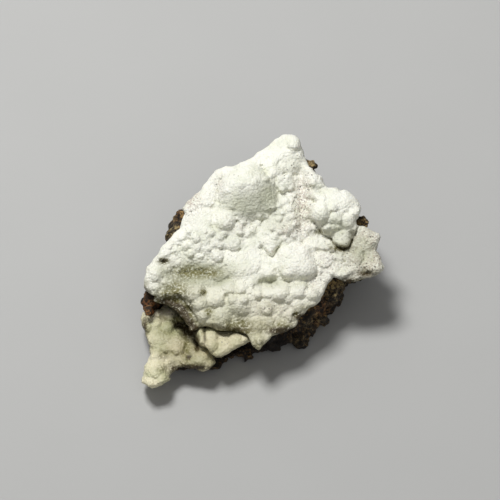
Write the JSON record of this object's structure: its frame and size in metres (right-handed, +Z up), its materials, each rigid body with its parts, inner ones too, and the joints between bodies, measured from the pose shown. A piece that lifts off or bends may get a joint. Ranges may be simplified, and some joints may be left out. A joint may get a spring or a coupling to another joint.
{
  "type": "aragonite on limonite mineral specimen",
  "caption": "Hand specimen of brown, rough limonite rock covered by a white, lumpy aragonite crust, lying on its flat underside.",
  "frame": {"origin": "on the flat underside of the rock, where it rests, under the middle of the specimen", "axes": "+Z up; -Y towards the viewer of the picture, with the ledge and its lobe at the front left; +X to the right; +Y towards the peak at the back"},
  "size_m": [0.0581, 0.0668, 0.0238],
  "materials": {
    "limonite": "rough, earthy brown to ochre with near-black hollows",
    "aragonite": "white, matt to waxy botryoidal crust with small dark specks",
    "aragonite_cream": "cream to pale green waxy crust, stained brown at its edges"
  },
  "bodies": {
    "root": {"limonite_matrix": "limonite", "aragonite_crust": "aragonite", "aragonite_ledge_crust": "aragonite_cream"}
  },
  "joints": []
}
